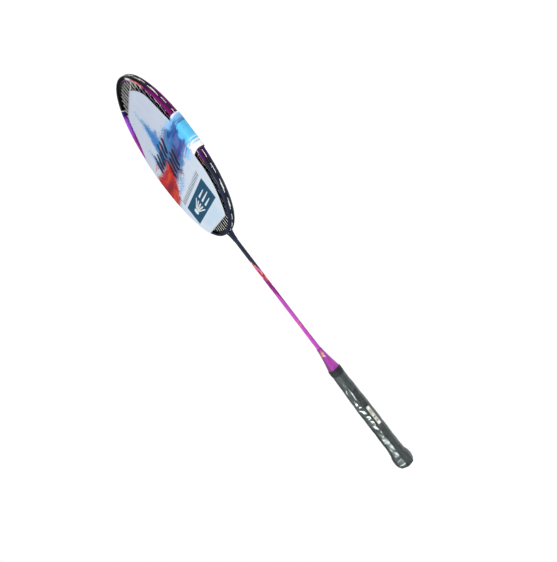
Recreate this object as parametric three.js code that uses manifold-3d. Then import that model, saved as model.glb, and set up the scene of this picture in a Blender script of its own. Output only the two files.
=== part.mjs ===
// Badminton racket, lying on its back. Millimetres.
// Origin: centre of the flat butt end. +Y runs up the handle to the tip of the head,
// +Z is the face of the string bed that looks up, +X is the right-hand side of the head.
import * as THREE from 'three';
import { mergeVertices } from 'three/addons/utils/BufferGeometryUtils.js';
import Module from 'manifold-3d';

const wasm = await Module();
wasm.setup();

// ---------------------------------------------------------------- driving dimensions
const GAP = 0.3;                      // clearance left between pieces that touch
const HEAD = {                        // outer outline of the head, two superellipse halves
  halfWidth: 100,
  widestY: 549,
  topLength: 126,
  bottomLength: 124,
  topPower: 2.04,
  bottomPower: 2.16,
};
const TUBE = { halfRadial: 3.25, halfHeight: 5.2, grooveFloor: 1.35, grooveHalfWidth: 1.8 };
const STRING = { diameter: 0.7, planeZ: 0.45, bendRadius: 1.2, sides: 6 };
const MAINS = { perSide: 11, firstX: 4, pitch: 8, throatX: 5.2, throatTilt: 20 };
const CROSSES = { perHalf: 11, pitch: 9.45, centreY: 550.5 };
const HOLE_SPACING = 4;               // least distance between two neighbouring holes
const GROMMET = { bore: 0.78, barrel: 1.2, hole: 1.55, bandThickness: 0.5, bandHalfWidth: 1.5 };
const GROMMET_STRIPS = 8;
const BARREL_PROUD = 1;               // how far a barrel stands out of the inner face
const SHAFT = { outer: 3.2, bore: 2.3, bottomY: 96, topY: 421 };
const NECK_HALF_WIDTH = 3;            // half the gap between the two ends of the hoop
const ARM = { length: 26, offset: -0.95, halfRadial: 1.2, halfHeight: 2.6 };
const STEM_RADIUS = 1.9;
const OCTAGON_STRETCH = 1.133;        // the handle is wider across X than across Z
const CORE_TOP_Y = 177.5;
const TAPE_THICKNESS = 1.6;
const FILM_THICKNESS = 0.15;
const BOARD = { thickness: 0.5, topZ: -5.5 };
const CARD = { thickness: 0.6, topZ: 6.1, bottomZ: -6.9, bottomY: 443, foldTopY: 600 };

// Half thickness (across Z) of the wrapped grip, along Y.
const GRIP_PROFILE = [
  [2, 13.5],
  [8, 14.4],
  [14, 13.7],
  [22, 11.9],
  [30, 11.1],
  [102, 11.1],
  [165, 9.6],
  [CORE_TOP_Y, 9.3],
];

// ---------------------------------------------------------------- materials
function paint(color, roughness, metalness = 0) {
  return new THREE.MeshStandardMaterial({ color, roughness, metalness });
}

const MATERIALS = {
  frame: paint(0x14121f, 0.2, 0.3),
  joint: paint(0x2a2a2c, 0.5),
  shaft: paint(0x8c2a90, 0.25, 0.3),
  cone: paint(0xb848bd, 0.3),
  wood: paint(0xc79f6c, 0.7),
  plastic: paint(0x202326, 0.5),
  grip: paint(0x3f4746, 0.8),
  tape: paint(0x1c1f21, 0.4),
  film: new THREE.MeshStandardMaterial({ color: 0xdfe8ec, roughness: 0.1, transparent: true, opacity: 0.3 }),
  sticker: paint(0xe9e9e6, 0.5),
  grommet: paint(0x101112, 0.45),
  string: paint(0xe8e6dc, 0.35),
  card: paint(0xd7dde8, 0.6),
  board: paint(0x17171a, 0.8),
};

// ---------------------------------------------------------------- solids
function toSolid(geometry) {
  geometry.deleteAttribute('normal');
  geometry.deleteAttribute('uv');
  const merged = mergeVertices(geometry);
  return new wasm.Manifold(new wasm.Mesh({
    numProp: 3,
    vertProperties: new Float32Array(merged.attributes.position.array),
    triVerts: new Uint32Array(merged.index.array),
  }));
}

function toGeometry(solid) {
  const mesh = solid.getMesh();
  const geometry = new THREE.BufferGeometry();
  geometry.setAttribute('position', new THREE.BufferAttribute(mesh.vertProperties, 3));
  geometry.setIndex(new THREE.BufferAttribute(mesh.triVerts, 1));
  geometry.computeVertexNormals();
  return geometry;
}

function addMesh(name, geometry, material) {
  const mesh = new THREE.Mesh(geometry, material);
  mesh.name = name;
  racket.add(mesh);
  return mesh;
}

// A rod of the given radius between two points.
function rod(from, to, radius, sides) {
  const axis = to.clone().sub(from);
  const geometry = new THREE.CylinderGeometry(radius, radius, axis.length(), sides);
  const turn = new THREE.Quaternion().setFromUnitVectors(new THREE.Vector3(0, 1, 0), axis.clone().normalize());
  geometry.applyQuaternion(turn);
  geometry.translate(...from.clone().add(to).multiplyScalar(0.5).toArray());
  return toSolid(geometry);
}

function rodAlongY(radius, fromY, toY, sides) {
  return rod(new THREE.Vector3(0, fromY, 0), new THREE.Vector3(0, toY, 0), radius, sides);
}

// ---------------------------------------------------------------- outline of the head
function power(value, exponent) {
  return Math.sign(value) * Math.abs(value) ** exponent;
}

// A point of the head outline and its outward direction, both in the XY plane.
// The angle is measured from +X towards the tip, in radians.
function rimAt(angle) {
  const isTop = Math.sin(angle) >= 0;
  const n = isTop ? HEAD.topPower : HEAD.bottomPower;
  const length = isTop ? HEAD.topLength : HEAD.bottomLength;
  const u = power(Math.cos(angle), 2 / n);
  const v = power(Math.sin(angle), 2 / n);
  const point = new THREE.Vector3(HEAD.halfWidth * u, HEAD.widestY + length * v, 0);
  const outward = new THREE.Vector3(power(u, n - 1) / HEAD.halfWidth, power(v, n - 1) / length, 0);
  return { point, outward: outward.normalize() };
}

// A point of the tube's section: radial is measured outwards from the tube's centre line.
function tubePoint(angle, radial, z = 0) {
  const { point, outward } = rimAt(angle);
  return point.addScaledVector(outward, radial - TUBE.halfRadial).setZ(z);
}

// The angle between low and high at which a falling quantity passes zero.
function solveAngle(low, high, quantity) {
  for (let step = 0; step < 40; step += 1) {
    const middle = (low + high) / 2;
    if (quantity(middle) > 0) {
      low = middle;
    } else {
      high = middle;
    }
  }
  return low;
}

// A curve that follows the tube clockwise, from one angle down to another.
class TubePath extends THREE.Curve {
  constructor(fromAngle, toAngle, radial = 0) {
    super();
    this.fromAngle = fromAngle;
    this.toAngle = toAngle;
    this.radial = radial;
  }

  angleAt(t) {
    return THREE.MathUtils.lerp(this.fromAngle, this.toAngle, t);
  }

  getPoint(t) {
    return tubePoint(this.angleAt(t), this.radial);
  }

  getTangent(t) {
    const { outward } = rimAt(this.angleAt(t));
    return new THREE.Vector3(outward.y, -outward.x, 0);
  }

  getUtoTmapping(u) {
    return u;
  }
}

// Sweeps a closed section along a path. A section point is [outward distance, height].
function sweep(path, section, steps) {
  const shape = new THREE.Shape(section.map(([radial, z]) => new THREE.Vector2(-z, radial)));
  return new THREE.ExtrudeGeometry(shape, { steps, extrudePath: path });
}

function rectangle(halfRadial, halfHeight, centre = 0) {
  return [
    [centre - halfRadial, -halfHeight],
    [centre + halfRadial, -halfHeight],
    [centre + halfRadial, halfHeight],
    [centre - halfRadial, halfHeight],
  ];
}

// ---------------------------------------------------------------- string holes
// Where a string leaves the hoop: just past the end of its grommet barrel.
const EXIT_RADIAL = -TUBE.halfRadial - BARREL_PROUD - 1;
const BAND_TOP = TUBE.grooveFloor + GAP + GROMMET.bandThickness;
const LOOP_RADIAL = BAND_TOP + GAP + STRING.diameter / 2;

// The holes of one quarter of the head (x > 0), in order from the side to the end of the head.
function quarterHoles(isTop) {
  const side = isTop ? 1 : -1;
  const holes = [];
  for (let index = 0; index < MAINS.perSide; index += 1) {
    const isThroat = !isTop && index === 0;
    const x = isThroat ? MAINS.throatX : MAINS.firstX + index * MAINS.pitch;
    const angle = solveAngle(0, Math.PI / 2, (a) => tubePoint(side * a, EXIT_RADIAL).x - x);
    holes.push({ kind: 'main', index, angle, tilt: isThroat ? MAINS.throatTilt : 0 });
  }
  for (let index = 0; index < CROSSES.perHalf; index += 1) {
    const y = CROSSES.centreY + side * (index + 0.5) * CROSSES.pitch;
    const angle = solveAngle(0, Math.PI / 2, (a) => side * (y - tubePoint(side * a, EXIT_RADIAL).y));
    holes.push({ kind: 'cross', index, angle, tilt: 0 });
  }
  holes.sort((a, b) => a.angle - b.angle);
  spreadHoles(holes, side);
  return holes.map((hole) => ({ ...hole, angle: side * hole.angle }));
}

// Moves neighbouring holes apart until no two are closer than HOLE_SPACING.
function spreadHoles(holes, side) {
  for (let round = 0; round < 200; round += 1) {
    for (let index = 1; index < holes.length; index += 1) {
      const [near, far] = [holes[index - 1], holes[index]];
      const distance = tubePoint(side * near.angle, 0).distanceTo(tubePoint(side * far.angle, 0));
      const push = Math.max(0, HOLE_SPACING - distance) / 2 / HEAD.halfWidth;
      near.angle -= push;
      far.angle += far.tilt ? 0 : push;
    }
  }
}

// A hole has an exit point in the bed, a loop point in the groove and a direction outwards.
function placeHole(hole, isRight) {
  const angle = isRight ? hole.angle : Math.PI - hole.angle;
  const z = hole.kind === 'main' ? STRING.planeZ : -STRING.planeZ;
  const tilt = THREE.MathUtils.degToRad(hole.tilt) * (isRight ? 1 : -1);
  const direction = rimAt(angle).outward.applyAxisAngle(new THREE.Vector3(0, 0, 1), tilt);
  const along = (radial) => tubePoint(angle, -TUBE.halfRadial, z)
    .addScaledVector(direction, (radial + TUBE.halfRadial) / Math.cos(tilt));
  return { ...hole, angle, isRight, along, exit: along(EXIT_RADIAL), loop: along(LOOP_RADIAL) };
}

const HOLES = [true, false].flatMap((isTop) => {
  const quarter = quarterHoles(isTop);
  return [true, false].flatMap((isRight) => quarter.map((hole) => ({ ...placeHole(hole, isRight), isTop })));
});

function drillAll(solid, radius, isNear) {
  const drills = HOLES.filter(isNear).map((hole) => rod(hole.along(-6), hole.along(2.2), radius, 6));
  return drills.length ? solid.subtract(wasm.Manifold.union(drills)) : solid;
}

// ---------------------------------------------------------------- head
const BOTTOM = -Math.PI / 2;
const BOTTOM_Y = HEAD.widestY - HEAD.bottomLength;
const NECK_ANGLE = NECK_HALF_WIDTH / HEAD.halfWidth;

// Section of the hoop: rounded inner face, flat cheeks and a string groove outside.
const OUTER_HALF_SECTION = [
  [TUBE.halfRadial, 2.5],
  [2.9, 4],
  [1.1, TUBE.halfHeight],
  [-0.9, TUBE.halfHeight],
  [-2.6, 3.9],
  [-TUBE.halfRadial, 1.6],
];

function mirrored(halfSection) {
  return halfSection.concat(halfSection.map(([radial, z]) => [radial, -z]).reverse());
}

const HOOP_SECTION = mirrored(OUTER_HALF_SECTION).concat([
  [TUBE.grooveFloor, -TUBE.grooveHalfWidth],
  [TUBE.grooveFloor, TUBE.grooveHalfWidth],
]);

// The internal moulding that joins hoop and shaft: two curved arms and a stem.
function jointSolid(clearance) {
  const reach = ARM.length / HEAD.halfWidth;
  const path = new TubePath(BOTTOM + reach, BOTTOM - reach);
  const section = rectangle(ARM.halfRadial + clearance, ARM.halfHeight + clearance, ARM.offset);
  const arms = toSolid(sweep(path, section, 8));
  const stem = rodAlongY(STEM_RADIUS + clearance, SHAFT.topY - 24, BOTTOM_Y + 4.2, 12);
  return arms.add(stem);
}

function buildHoop() {
  const path = new TubePath(BOTTOM - NECK_ANGLE, BOTTOM - 2 * Math.PI + NECK_ANGLE);
  const hoop = toSolid(sweep(path, HOOP_SECTION, 72));
  return drillAll(hoop.subtract(jointSolid(GAP)), GROMMET.hole, () => true);
}

// The outer moulding of the throat: a neck between the hoop's ends and a boss for the shaft.
function buildThroat() {
  const neckAngle = (NECK_HALF_WIDTH - GAP) / HEAD.halfWidth;
  const neck = toSolid(sweep(new TubePath(BOTTOM + neckAngle, BOTTOM - neckAngle), mirrored(OUTER_HALF_SECTION), 2));
  const bossProfile = [[0, -15], [3.9, -15], [4.2, -8], [4.7, -2], [4.7, -GAP], [2.6, -GAP], [2.6, 1], [0, 1]];
  const boss = toSolid(new THREE.LatheGeometry(
    bossProfile.map(([radius, y]) => new THREE.Vector2(radius, BOTTOM_Y + y)),
    20,
  ));
  const socket = rodAlongY(SHAFT.outer + GAP, BOTTOM_Y - 20, SHAFT.topY + GAP, 20);
  return neck.add(boss).subtract(jointSolid(GAP)).subtract(socket);
}

// ---------------------------------------------------------------- grommet strips
function distanceFromThroat(hole) {
  return (hole.angle - BOTTOM + 4 * Math.PI) % (2 * Math.PI);
}

function buildGrommetStrip(holes) {
  const margin = 1.7 / HEAD.halfWidth;
  const loopAngle = (hole) => hole.angle + Math.sign(hole.isRight ? 1 : -1) * hole.tilt * 0.0011;
  const path = new TubePath(loopAngle(holes.at(-1)) + margin, loopAngle(holes[0]) - margin);
  const bandCentre = BAND_TOP - GROMMET.bandThickness / 2;
  const band = toSolid(sweep(path, rectangle(GROMMET.bandThickness / 2, GROMMET.bandHalfWidth, bandCentre), 12));
  const barrels = holes.map((hole) => rod(
    hole.along(-TUBE.halfRadial - BARREL_PROUD),
    hole.along(bandCentre),
    GROMMET.barrel,
    6,
  ));
  const bores = holes.map((hole) => rod(hole.along(-7), hole.along(4), GROMMET.bore, 6));
  return band.add(wasm.Manifold.union(barrels)).subtract(wasm.Manifold.union(bores));
}

function buildGrommetStrips() {
  const ordered = HOLES.map((hole) => ({ ...hole, angle: BOTTOM + distanceFromThroat(hole) }));
  ordered.sort((a, b) => a.angle - b.angle);
  const perStrip = ordered.length / GROMMET_STRIPS;
  for (let index = 0; index < GROMMET_STRIPS; index += 1) {
    const strip = buildGrommetStrip(ordered.slice(index * perStrip, (index + 1) * perStrip));
    addMesh(`grommet_strip_${index + 1}`, toGeometry(strip), MATERIALS.grommet);
  }
}

// ---------------------------------------------------------------- strings
// A curve through a list of knots that stops exactly at each of them.
class KnotPath extends THREE.Curve {
  constructor(knots) {
    super();
    this.knots = knots;
  }

  getPoint(t) {
    const place = t * (this.knots.length - 1);
    const index = Math.min(Math.floor(place), this.knots.length - 2);
    return this.knots[index].clone().lerp(this.knots[index + 1], place - index);
  }

  getTangent(t) {
    const index = Math.round(t * (this.knots.length - 1));
    const before = this.knots[Math.max(index - 1, 0)];
    const here = this.knots[index];
    const after = this.knots[Math.min(index + 1, this.knots.length - 1)];
    const inward = here.clone().sub(before).normalize();
    return after.clone().sub(here).normalize().add(inward).normalize();
  }

  getUtoTmapping(u) {
    return u;
  }
}

// Rounds the sharp corners of a polyline and leaves out those that hardly turn.
function roundCorners(corners, radius) {
  const knots = [corners[0]];
  for (let index = 1; index < corners.length - 1; index += 1) {
    const corner = corners[index];
    const back = corners[index - 1].clone().sub(corner).normalize();
    const ahead = corners[index + 1].clone().sub(corner).normalize();
    const turn = Math.PI - back.angleTo(ahead);
    if (turn > 0.06) {
      const reach = radius * Math.tan(turn / 2);
      const centre = corner.clone().addScaledVector(back.clone().add(ahead).normalize(), radius / Math.cos(turn / 2));
      const start = corner.clone().addScaledVector(back, reach).sub(centre);
      const end = corner.clone().addScaledVector(ahead, reach).sub(centre);
      const pieces = Math.max(1, Math.round(turn / 0.8));
      for (let piece = 0; piece <= pieces; piece += 1) {
        const share = piece / pieces;
        const spoke = start.clone().multiplyScalar(Math.sin((1 - share) * turn));
        spoke.addScaledVector(end, Math.sin(share * turn)).divideScalar(Math.sin(turn));
        knots.push(spoke.add(centre));
      }
    } else if (turn > 0.01) {
      knots.push(corner);
    }
  }
  knots.push(corners.at(-1));
  return knots;
}

// The string bends over the curve of the groove halfway between two holes.
function grooveMiddle(from, to) {
  const turn = Math.atan2(Math.sin(to.angle - from.angle), Math.cos(to.angle - from.angle));
  const shares = Math.abs(turn) > 0.1 ? [1 / 3, 2 / 3] : [1 / 2];
  return shares.map((share) => tubePoint(from.angle + turn * share, LOOP_RADIAL, from.loop.z));
}

// One string snakes through its holes: across the bed, out, along the groove and back in.
function buildString(rows) {
  const corners = [];
  let last = null;
  rows.forEach(([first, second], index) => {
    const [start, end] = index % 2 ? [second, first] : [first, second];
    if (last) {
      corners.push(...grooveMiddle(last, start));
    }
    corners.push(start.loop, start.exit, end.exit, end.loop);
    last = end;
  });
  corners[0] = rows[0][0].along(LOOP_RADIAL + 0.6);
  const section = new THREE.Shape();
  for (let side = 0; side < STRING.sides; side += 1) {
    const angle = ((side + 0.5) / STRING.sides) * 2 * Math.PI;
    const radius = STRING.diameter / 2;
    section[side ? 'lineTo' : 'moveTo'](radius * Math.cos(angle), radius * Math.sin(angle));
  }
  section.closePath();
  const knots = roundCorners(corners, STRING.bendRadius);
  return new THREE.ExtrudeGeometry(section, { steps: knots.length - 1, extrudePath: new KnotPath(knots) });
}

function findHole(kind, index, isTop, isRight) {
  return HOLES.find((hole) => (
    hole.kind === kind && hole.index === index && hole.isTop === isTop && hole.isRight === isRight
  ));
}

// Mains from the left edge to the right edge, each as [bottom hole, top hole].
function mainRows() {
  const rows = [];
  for (let place = 0; place < 2 * MAINS.perSide; place += 1) {
    const isRight = place >= MAINS.perSide;
    const index = isRight ? place - MAINS.perSide : MAINS.perSide - 1 - place;
    rows.push([findHole('main', index, false, isRight), findHole('main', index, true, isRight)]);
  }
  return rows;
}

// Crosses from the tip to the throat, each as [left hole, right hole].
function crossRows() {
  const rows = [];
  for (let place = 0; place < 2 * CROSSES.perHalf; place += 1) {
    const isTop = place < CROSSES.perHalf;
    const index = isTop ? CROSSES.perHalf - 1 - place : place - CROSSES.perHalf;
    rows.push([findHole('cross', index, isTop, false), findHole('cross', index, isTop, true)]);
  }
  return rows;
}

// ---------------------------------------------------------------- handle
// An eight-sided body about Y with flats facing X and Z, from [y, half thickness] pairs.
function octagonGeometry(profile) {
  const points = profile.map(([y, apothem]) => new THREE.Vector2(apothem / Math.cos(Math.PI / 8), y));
  const geometry = new THREE.LatheGeometry(points, 8, Math.PI / 8);
  geometry.scale(OCTAGON_STRETCH, 1, 1);
  return geometry;
}

function gripApothem(y) {
  const index = Math.max(1, GRIP_PROFILE.findIndex(([stationY]) => stationY >= y));
  const [[y0, a0], [y1, a1]] = [GRIP_PROFILE[index - 1], GRIP_PROFILE[index]];
  return THREE.MathUtils.mapLinear(y, y0, y1, a0, a1);
}

// A sleeve round the grip between two heights, standing off its surface.
function sleeveGeometry(fromY, toY, inner, outer) {
  const middle = GRIP_PROFILE.map(([y]) => y).filter((y) => y > fromY && y < toY);
  const stations = [fromY, ...middle, toY];
  const outside = stations.map((y) => [y, gripApothem(y) + outer]);
  const inside = stations.map((y) => [y, gripApothem(y) + inner]).reverse();
  return octagonGeometry([...outside, ...inside, outside[0]]);
}

function buildHandleCore() {
  const inset = -TAPE_THICKNESS - GAP;
  const stations = GRIP_PROFILE.map(([y, apothem]) => [y, apothem + inset]);
  const closed = [[stations[0][0], 0], ...stations, [CORE_TOP_Y, 0]];
  const body = toSolid(octagonGeometry(closed.map(([y, a]) => [y, Math.max(a, 0)])));
  const neck = rodAlongY(6.2, CORE_TOP_Y - 4, 186, 24);
  const bore = rodAlongY(SHAFT.outer + GAP, SHAFT.bottomY - GAP, 190, 20);
  const capHole = rodAlongY(4 + GAP, 0, 8 + GAP, 16);
  return body.add(neck).subtract(bore).subtract(capHole);
}

function buildButtCap() {
  const plate = toSolid(octagonGeometry([[0, 0], [0, 12.6], [0.8, 13.2], [1.7, 13.3], [1.7, 0]]));
  return plate.add(rodAlongY(4, 1, 8, 16));
}

function lathe(profile, segments) {
  const points = profile.map(([radius, y]) => new THREE.Vector2(radius, y));
  return new THREE.LatheGeometry(points, segments);
}

// Tapered cap between handle and shaft, with a bore for the shaft and a socket for the core's neck.
function coneGeometry() {
  const bottomY = CORE_TOP_Y + GAP;
  const profile = [
    [6.2 + GAP, bottomY],
    [9, bottomY],
    [9.2, bottomY + 2],
    [8.3, 183.5],
    [7.4, 188],
    [6.3, 195],
    [5, 203],
    [4.2, 209.5],
    [3.9, 214.5],
    [SHAFT.outer + GAP, 214.5],
    [SHAFT.outer + GAP, 186 + GAP],
    [6.2 + GAP, 186 + GAP],
    [6.2 + GAP, bottomY],
  ];
  return lathe(profile, 24);
}

function shaftGeometry() {
  const { outer, bore, bottomY, topY } = SHAFT;
  return lathe([[bore, bottomY], [outer, bottomY], [outer, topY], [bore, topY], [bore, bottomY]], 20);
}

// A thin rectangular label lying on the +X flat of the wrapped handle.
function addLabel(name, fromY, toY, width, material) {
  const thickness = 0.15;
  const standOff = 2 * GAP + FILM_THICKNESS + thickness / 2;
  const flatX = (y) => gripApothem(y) * OCTAGON_STRETCH + standOff;
  const geometry = new THREE.BoxGeometry(thickness, toY - fromY, width);
  const label = addMesh(name, geometry, material);
  label.position.set((flatX(fromY) + flatX(toY)) / 2, (fromY + toY) / 2, 0);
  label.rotation.z = -Math.atan((flatX(toY) - flatX(fromY)) / (toY - fromY));
}

// ---------------------------------------------------------------- display card
function rimArc(fromAngle, toAngle, radial, steps) {
  return Array.from({ length: steps + 1 }, (unused, step) => (
    tubePoint(THREE.MathUtils.lerp(fromAngle, toAngle, step / steps), radial)
  ));
}

function angleAtHeight(y, isLeft) {
  const side = y > HEAD.widestY ? 1 : -1;
  const angle = side * solveAngle(0, Math.PI / 2, (a) => side * (y - rimAt(side * a).point.y));
  return isLeft ? Math.PI - angle : angle;
}

function flatGeometry(points, bottomZ, topZ) {
  const shape = new THREE.Shape(points.map((point) => new THREE.Vector2(point.x, point.y)));
  const geometry = new THREE.ExtrudeGeometry(shape, { depth: topZ - bottomZ, bevelEnabled: false });
  return geometry.translate(0, 0, bottomZ);
}

// A folded card sleeve: one fold follows the left rail, and a tab wraps the right one.
function buildCard() {
  const foldRadial = TUBE.halfRadial + GAP + CARD.thickness;
  const fold = rimArc(angleAtHeight(CARD.foldTopY, true), angleAtHeight(CARD.bottomY, true), foldRadial, 16);
  const tab = rimArc(angleAtHeight(515, false), angleAtHeight(570, false), foldRadial, 6);
  const point = (x, y) => new THREE.Vector3(x, y, 0);
  const outline = [
    ...fold,
    point(50, CARD.bottomY),
    point(68, 480),
    point(77, 503),
    point(78, 515),
    ...tab,
    point(78, 570),
    point(74, 596),
    point(54, 627),
    point(28, 650),
    point(-36, 650),
    point(-58, 632),
  ];
  const inside = rimArc(0, -2 * Math.PI, TUBE.halfRadial + GAP, 72).slice(1);
  const hollow = flatGeometry(inside, CARD.bottomZ + CARD.thickness, CARD.topZ - CARD.thickness);
  return toSolid(flatGeometry(outline, CARD.bottomZ, CARD.topZ)).subtract(toSolid(hollow));
}

// A stiff black board between the hoop's back and the card.
function boardGeometry() {
  const outline = rimArc(0, -2 * Math.PI, 0, 72).slice(1);
  return flatGeometry(outline, BOARD.topZ - BOARD.thickness, BOARD.topZ);
}

// ---------------------------------------------------------------- assembly
const racket = new THREE.Group();
racket.name = 'badminton_racket';

addMesh('head_frame', toGeometry(buildHoop()), MATERIALS.frame);
addMesh('throat_cover', toGeometry(buildThroat()), MATERIALS.frame);
addMesh('t_joint', toGeometry(drillAll(jointSolid(0), GROMMET.hole, (hole) => !hole.isTop)), MATERIALS.joint);
addMesh('shaft', shaftGeometry(), MATERIALS.shaft);
addMesh('handle_cone', coneGeometry(), MATERIALS.cone);
addMesh('handle_core', toGeometry(buildHandleCore()), MATERIALS.wood);
addMesh('butt_cap', toGeometry(buildButtCap()), MATERIALS.plastic);
addMesh('grip_wrap', sleeveGeometry(2, CORE_TOP_Y, -TAPE_THICKNESS, 0), MATERIALS.grip);
addMesh('grip_finishing_tape', sleeveGeometry(168.5, CORE_TOP_Y, GAP, GAP + 0.2), MATERIALS.tape);
addMesh('grip_film', sleeveGeometry(3, 168, GAP, GAP + FILM_THICKNESS), MATERIALS.film);
addLabel('barcode_sticker', 76.5, 107.5, 5, MATERIALS.sticker);
addLabel('grip_label', 109, 138, 6.5, MATERIALS.tape);
buildGrommetStrips();
addMesh('main_string', buildString(mainRows()), MATERIALS.string);
addMesh('cross_string', buildString(crossRows()), MATERIALS.string);
addMesh('backing_board', boardGeometry(), MATERIALS.board);
addMesh('display_card', toGeometry(buildCard()), MATERIALS.card);

export default racket;
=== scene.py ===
"""A badminton racket on its back, with its head card and grip film on.

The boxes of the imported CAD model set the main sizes, and the finer ones repeat its own.
All lengths here are millimetres, turned into metres where a mesh is made.
"""
import functools
import math

import bmesh
import bpy
import numpy as np
from mathutils import Matrix, Vector


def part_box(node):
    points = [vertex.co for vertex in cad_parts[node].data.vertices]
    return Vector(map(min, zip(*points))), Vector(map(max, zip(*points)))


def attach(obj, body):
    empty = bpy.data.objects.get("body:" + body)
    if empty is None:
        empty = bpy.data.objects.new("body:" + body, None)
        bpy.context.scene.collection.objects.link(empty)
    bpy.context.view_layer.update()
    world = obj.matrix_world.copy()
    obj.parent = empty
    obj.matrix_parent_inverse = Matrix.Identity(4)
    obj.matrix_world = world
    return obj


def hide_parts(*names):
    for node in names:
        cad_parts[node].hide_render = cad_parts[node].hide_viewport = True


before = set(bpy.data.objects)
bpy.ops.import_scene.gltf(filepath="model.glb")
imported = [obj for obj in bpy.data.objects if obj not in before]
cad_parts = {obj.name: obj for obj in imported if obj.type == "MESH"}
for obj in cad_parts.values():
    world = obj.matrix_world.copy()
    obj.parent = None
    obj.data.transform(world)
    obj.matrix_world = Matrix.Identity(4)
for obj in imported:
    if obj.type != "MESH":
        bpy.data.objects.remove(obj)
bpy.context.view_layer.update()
MM = 0.001
BODY = "root"


def box_mm(node):
    """A CAD node's lowest and highest corner, in millimetres."""
    low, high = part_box(node)
    return np.array(low) / MM, np.array(high) / MM


# ---------------------------------------------------------------- sizes, from the frame
HOOP_LOW, HOOP_HIGH = box_mm("head_frame")
HALF_WIDTH = HOOP_HIGH[0]
TIP_Y = HOOP_HIGH[1]
TUBE_HALF_HEIGHT = HOOP_HIGH[2]
THROAT_Y = HOOP_LOW[1]
WIDEST_Y = 549.0
TOP_POWER, BOTTOM_POWER = 2.04, 2.16
TUBE_HALF_RADIAL = 3.25
GROOVE_FLOOR = 1.35

MAINS_PER_SIDE, FIRST_MAIN_X, MAIN_PITCH = 11, 4.0, 8.0
THROAT_MAIN_X, THROAT_TILT = 5.2, 20.0
CROSSES_PER_HALF, CROSS_PITCH, CROSS_CENTRE_Y = 11, 9.45, 550.5
HOLE_SPACING = 4.0
STRING_RADIUS = 0.4
STRING_PLANE = 0.45
WEAVE_HEIGHT = 0.36
BEND_RADIUS = 1.2
GROMMET_STRIPS = 8
BAND_BOTTOM, BAND_TOP = 1.65, 2.15
BAND_HALF_WIDTH = 0.6
BORE, BARREL = 0.78, 1.2
LOOP_RADIAL = 2.8
EXIT_RADIAL = -5.25

SHAFT_LOW, SHAFT_HIGH = box_mm("shaft")
SHAFT_RADIUS = SHAFT_HIGH[0]
CONE_LOW, CONE_HIGH = box_mm("handle_cone")
CARD_BOTTOM = box_mm("display_card")[0][1]
STRETCH = 1.133  # the handle is wider across X than across Z
GRIP_PROFILE_Y = (2.0, 7.0, 15.5, 20.0, 30.0, 102.0, 165.0, 177.5)
GRIP_PROFILE_Z = (13.5, 14.35, 13.5, 11.8, 11.05, 11.05, 9.55, 9.25)


# ---------------------------------------------------------------- mesh helpers
def link(obj):
    """Puts an object in the scene."""
    bpy.context.scene.collection.objects.link(obj)
    return obj


def new_object(name, vertices, faces, material, smooth=True):
    """A mesh object from vertices in millimetres."""
    mesh = bpy.data.meshes.new(name)
    mesh.from_pydata((np.asarray(vertices) * MM).tolist(), [], faces)
    mesh.validate()
    obj = link(bpy.data.objects.new(name, mesh))
    mesh.materials.append(material)
    if smooth:
        mesh.shade_smooth()
    return obj


def grid_faces(rows, columns, wrap_rows, wrap_columns):
    """Four-sided faces over a grid. A wrapped grid joins its last row or column to the first."""
    faces = []
    for r in range(rows if wrap_rows else rows - 1):
        for c in range(columns if wrap_columns else columns - 1):
            next_r, next_c = (r + 1) % rows, (c + 1) % columns
            corners = ((r, c), (r, next_c), (next_r, next_c), (next_r, c))
            faces.append(tuple(row * columns + column for row, column in corners))
    return faces


def grid_object(name, grid, material, wrap_rows=False, wrap_columns=False, caps=False):
    """A surface through grid[row][column]. With caps, its first and last row are closed."""
    rows, columns = grid.shape[:2]
    faces = grid_faces(rows, columns, wrap_rows, wrap_columns)
    if caps:
        faces.append(tuple(range(columns))[::-1])
        faces.append(tuple((rows - 1) * columns + c for c in range(columns)))
    obj = new_object(name, grid.reshape(-1, 3), faces, material)
    face_outwards(obj)
    return obj


def face_outwards(obj):
    """Turns the normal of every face outwards."""
    work = bmesh.new()
    work.from_mesh(obj.data)
    bmesh.ops.recalc_face_normals(work, faces=work.faces)
    work.to_mesh(obj.data)
    work.free()


def set_attribute(obj, name, values):
    """Gives every vertex a number, for a material to read."""
    attribute = obj.data.attributes.new(name, "FLOAT", "POINT")
    attribute.data.foreach_set("value", np.asarray(values, np.float32).ravel())


def add_modifier(obj, kind, **settings):
    modifier = obj.modifiers.new(kind.title(), kind)
    for key, value in settings.items():
        setattr(modifier, key, value)


def apply_modifiers(obj):
    """Makes what the modifiers show the mesh itself."""
    bpy.context.view_layer.update()
    depsgraph = bpy.context.evaluated_depsgraph_get()
    mesh = bpy.data.meshes.new_from_object(obj.evaluated_get(depsgraph))
    obj.modifiers.clear()
    obj.data = mesh


def join(name, objects):
    """One object from several, in the place of the first."""
    with bpy.context.temp_override(
        active_object=objects[0],
        object=objects[0],
        selected_editable_objects=objects,
        selected_objects=objects,
    ):
        bpy.ops.object.join()
    objects[0].name = name
    objects[0].data.name = name
    return objects[0]


def place(obj, slot, *nodes):
    """The piece rides with the racket and stands for nodes, which it hides. slot is not used."""
    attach(obj, BODY)
    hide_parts(*nodes)


def lathe_grid(profile, segments):
    """profile: (radius, y) pairs. Columns run round the Y axis."""
    profile = np.asarray(profile, float)
    turn = np.linspace(0, 2 * np.pi, segments, endpoint=False)
    grid = np.empty((len(profile), segments, 3))
    grid[:, :, 0] = profile[:, :1] * np.cos(turn)
    grid[:, :, 1] = profile[:, 1:]
    grid[:, :, 2] = profile[:, :1] * np.sin(turn)
    return grid


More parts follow.
